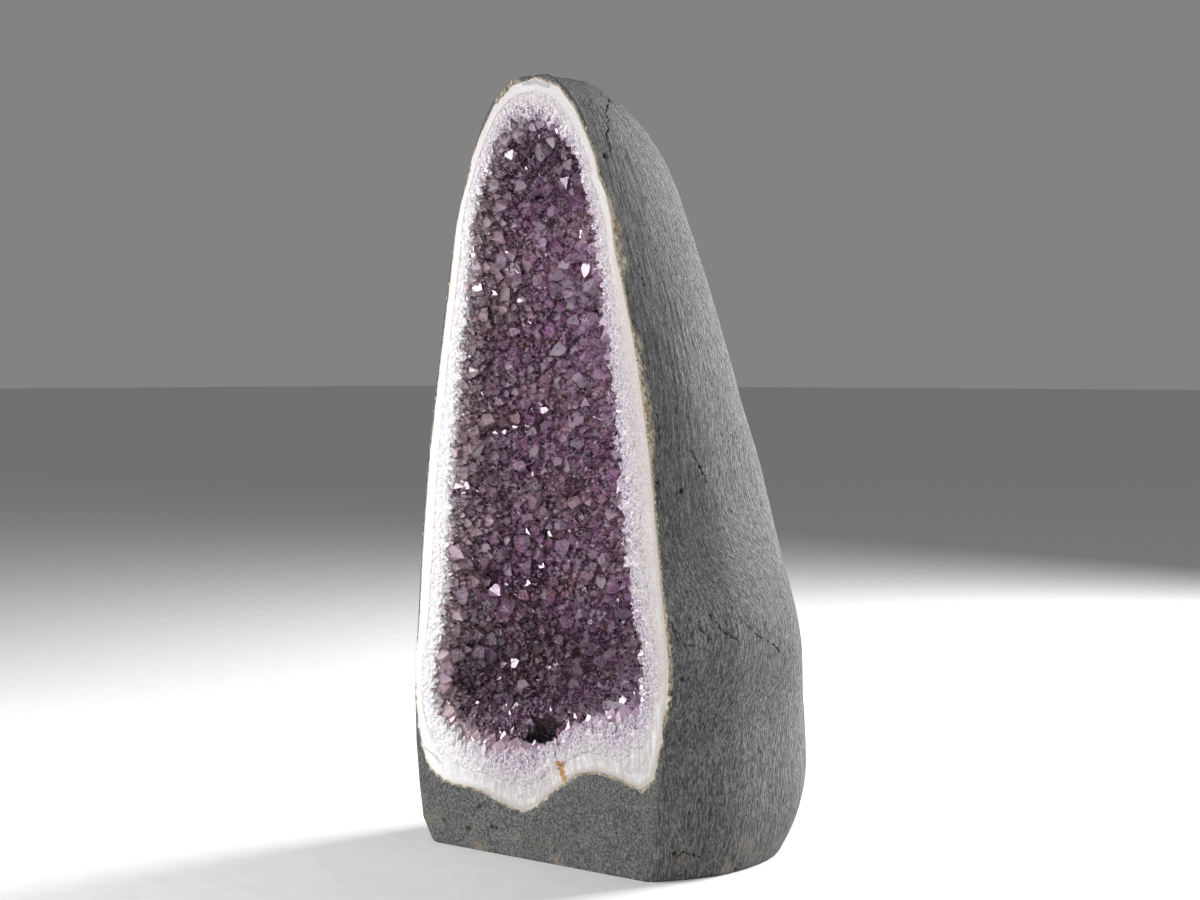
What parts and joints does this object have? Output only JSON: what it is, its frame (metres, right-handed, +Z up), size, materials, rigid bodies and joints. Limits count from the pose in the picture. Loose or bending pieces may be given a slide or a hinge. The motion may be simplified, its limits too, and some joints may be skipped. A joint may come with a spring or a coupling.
{
  "type": "amethyst cathedral geode",
  "caption": "Tall half geode standing upright, sawn open down the front to show a deep hollow lined with purple amethyst crystals, backed by a grey cement casing with a flat foot.",
  "frame": {"origin": "on the flat foot that the geode stands on, under the middle of the body's width and depth", "axes": "+Z up along the height, -Y out of the sawn face with the hollow, +X to the right as seen from in front of that face"},
  "size_m": [0.2278, 0.1938, 0.461],
  "materials": {
    "cement": "matt brushed cement render",
    "agate": "sawn and smoothed, pale and slightly translucent",
    "amethyst": "glossy natural crystal faces, translucent"
  },
  "bodies": {
    "root": {"cement_casing": "cement", "agate_wall": "agate", "amethyst_crust": "amethyst"}
  },
  "joints": []
}
